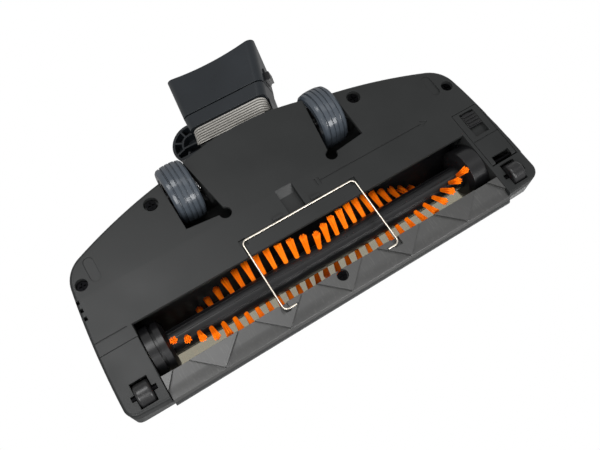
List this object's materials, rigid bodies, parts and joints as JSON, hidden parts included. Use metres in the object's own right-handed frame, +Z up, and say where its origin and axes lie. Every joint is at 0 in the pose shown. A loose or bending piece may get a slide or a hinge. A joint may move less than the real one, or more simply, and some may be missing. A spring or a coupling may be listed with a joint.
{
  "type": "vacuum floor brush head",
  "caption": "Wide powered floor brush head with a tufted roller in a lipped suction slot, wire guard, latch door, four wheels and a tilting, swivelling neck with bellows.",
  "frame": {"origin": "floor under the middle of the whole head's footprint, with the head on its four wheels and the neck turned as in the picture", "axes": "+X across the head to the belt-drive end, +Y back towards the neck, +Z up from the floor"},
  "size_m": [0.2748, 0.1966, 0.0557],
  "materials": {
    "charcoal_abs": "fine-grained dark charcoal",
    "lip_abs": "satin charcoal, worn a little lighter",
    "neck_abs": "fine-grained dark charcoal",
    "black_abs": "satin black",
    "wheel_black": "satin black",
    "smoked_window": "clear smoke-tinted",
    "clear_tyre": "half-clear blue grey",
    "grey_bellows": "soft light grey",
    "black_rubber": "matt black",
    "orange_bristle": "bright orange bundles",
    "bright_wire": "bright drawn wire",
    "black_steel": "blackened",
    "axle_steel": "bright turned",
    "motor_steel": "plated",
    "bush_nylon": "natural nylon"
  },
  "bodies": {
    "head": {"chassis": "charcoal_abs", "top_shell": "charcoal_abs", "window": "smoked_window", "front_lip": "lip_abs", "end_cover": "charcoal_abs", "chassis_screws": "black_steel", "lip_screw": "black_steel", "chamber_wall": "black_abs", "suction_duct": "black_abs", "inner_hose": "black_rubber", "drive_bush": "bush_nylon", "idler_bush": "bush_nylon", "drive_belt": "black_rubber", "motor": "motor_steel", "motor_cradle": "black_abs", "rear_axle_left": "axle_steel", "rear_axle_right": "axle_steel", "axle_clips": "axle_steel", "front_axle_left": "axle_steel", "front_axle_right": "axle_steel", "latch_pin": "axle_steel"},
    "brush": {"brush_core": "black_abs", "bristle_tufts": "orange_bristle", "drive_collar": "black_abs", "idler_cap": "black_abs", "brush_pulley": "bush_nylon"},
    "motor_rotor": {"motor_pulley": "bush_nylon"},
    "rear_wheel_left": {"rear_hub_left": "black_abs", "rear_tyre_left": "clear_tyre"},
    "rear_wheel_right": {"rear_hub_right": "black_abs", "rear_tyre_right": "clear_tyre"},
    "front_wheel_left": {"front_wheel_left": "wheel_black"},
    "front_wheel_right": {"front_wheel_right": "wheel_black"},
    "guard": {"wire_guard": "bright_wire"},
    "latch": {"latch_door": "charcoal_abs"},
    "latch_button": {"latch_slider": "black_abs"},
    "yoke": {"tilt_yoke": "black_abs"},
    "neck": {"neck_collar": "neck_abs", "swivel_ring": "black_abs", "bellows": "grey_bellows", "neck_connector": "neck_abs"},
    "catch": {"neck_catch": "black_abs"}
  },
  "joints": [
    {"name": "brush_spin", "type": "hinge", "parent": "head", "child": "brush", "pos_m": [0, -0.06495, 0.021], "axis": [1, 0, 0], "continuous": true},
    {"name": "motor_spin", "type": "hinge", "parent": "head", "child": "motor_rotor", "pos_m": [0.12, -0.02455, 0.0245], "axis": [1, 0, 0], "continuous": true},
    {"name": "rear_left_spin", "type": "hinge", "parent": "head", "child": "rear_wheel_left", "pos_m": [0.0515, 0.01475, 0.0196], "axis": [1, 0, 0], "continuous": true},
    {"name": "rear_right_spin", "type": "hinge", "parent": "head", "child": "rear_wheel_right", "pos_m": [-0.0515, 0.01475, 0.0196], "axis": [1, 0, 0], "continuous": true},
    {"name": "front_left_spin", "type": "hinge", "parent": "head", "child": "front_wheel_left", "pos_m": [0.124, -0.08525, 0.0066], "axis": [1, 0, 0], "continuous": true},
    {"name": "front_right_spin", "type": "hinge", "parent": "head", "child": "front_wheel_right", "pos_m": [-0.124, -0.08525, 0.0066], "axis": [1, 0, 0], "continuous": true},
    {"name": "guard_swing", "type": "hinge", "parent": "head", "child": "guard", "pos_m": [0, -0.08625, 0.005], "axis": [-1, 0, 0], "range_deg": [0, 110]},
    {"name": "latch_swing", "type": "hinge", "parent": "head", "child": "latch", "pos_m": [-0.1248, -0.07335, 0.0069], "axis": [-1, 0, 0], "range_deg": [0, 70]},
    {"name": "latch_slide", "type": "slide", "parent": "latch", "child": "latch_button", "axis": [0, -1, 0], "range_m": [-0.0016, 0.0062]},
    {"name": "neck_tilt", "type": "hinge", "parent": "head", "child": "yoke", "pos_m": [0, 0.03445, 0.0267], "axis": [1, 0, 0], "range_deg": [0, 65]},
    {"name": "neck_swivel", "type": "hinge", "parent": "yoke", "child": "neck", "pos_m": [0, 0.03445, 0.0267], "axis": [0, 0.8465, -0.5323], "range_deg": [-6, 34]},
    {"name": "catch_press", "type": "slide", "parent": "neck", "child": "catch", "axis": [0.915, 0.2148, 0.3416], "range_m": [0, 0.0025], "stiffness_N_per_m": 300}
  ],
  "couplings": [
    {"joint": "motor_spin", "follows": "brush_spin", "ratio": 2.2}
  ]
}
